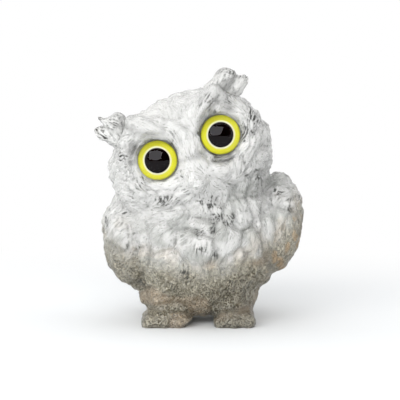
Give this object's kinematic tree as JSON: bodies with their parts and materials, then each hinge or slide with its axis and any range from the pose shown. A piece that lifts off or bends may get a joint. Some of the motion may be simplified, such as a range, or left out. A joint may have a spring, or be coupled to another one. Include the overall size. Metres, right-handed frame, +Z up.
{
  "type": "owl figurine",
  "caption": "Small seated owl cast in clear and smoky resin round quartz pebbles, head tilted, with two domed yellow eyes, standing on two flat feet.",
  "frame": {"origin": "on the floor under the middle of the owl's bounding box", "axes": "+Z up, the owl looks along -Y, and its own left side is +X"},
  "size_m": [0.0493, 0.0415, 0.0613],
  "materials": {
    "clear_resin": "cast clear epoxy with moulded feather relief, glossy",
    "smoky_resin": "cast smoky epoxy with moulded feather relief, glossy",
    "white_quartz": "tumbled milky quartz, satin",
    "smoky_quartz": "crushed smoky quartz, rough",
    "eye_backing": "moulded black acrylic, satin",
    "black_paint": "gloss paint under the dome",
    "ivory_paint": "gloss paint under the dome",
    "yellow_paint": "gloss paint under the dome",
    "clear_dome": "clear polished acrylic",
    "clear_glue": "clear glue, glossy"
  },
  "bodies": {
    "root": {"back_pebbles": "white_quartz", "belly_gravel": "smoky_quartz", "breast_pebbles": "white_quartz", "core_pebbles": "white_quartz", "head_pebbles": "white_quartz", "hip_gravel": "smoky_quartz", "left_eye_backing": "eye_backing", "left_eye_dome": "clear_dome", "left_eye_glue": "clear_glue", "left_eye_halo": "ivory_paint", "left_eye_iris": "yellow_paint", "left_eye_pupil": "black_paint", "left_foot_gravel": "smoky_quartz", "left_wing_gravel": "smoky_quartz", "left_wing_pebbles": "white_quartz", "lower_casting": "smoky_resin", "right_eye_backing": "eye_backing", "right_eye_dome": "clear_dome", "right_eye_glue": "clear_glue", "right_eye_halo": "ivory_paint", "right_eye_iris": "yellow_paint", "right_eye_pupil": "black_paint", "right_foot_gravel": "smoky_quartz", "right_wing_gravel": "smoky_quartz", "right_wing_pebbles": "white_quartz", "tail_gravel": "smoky_quartz", "upper_casting": "clear_resin"}
  },
  "joints": []
}
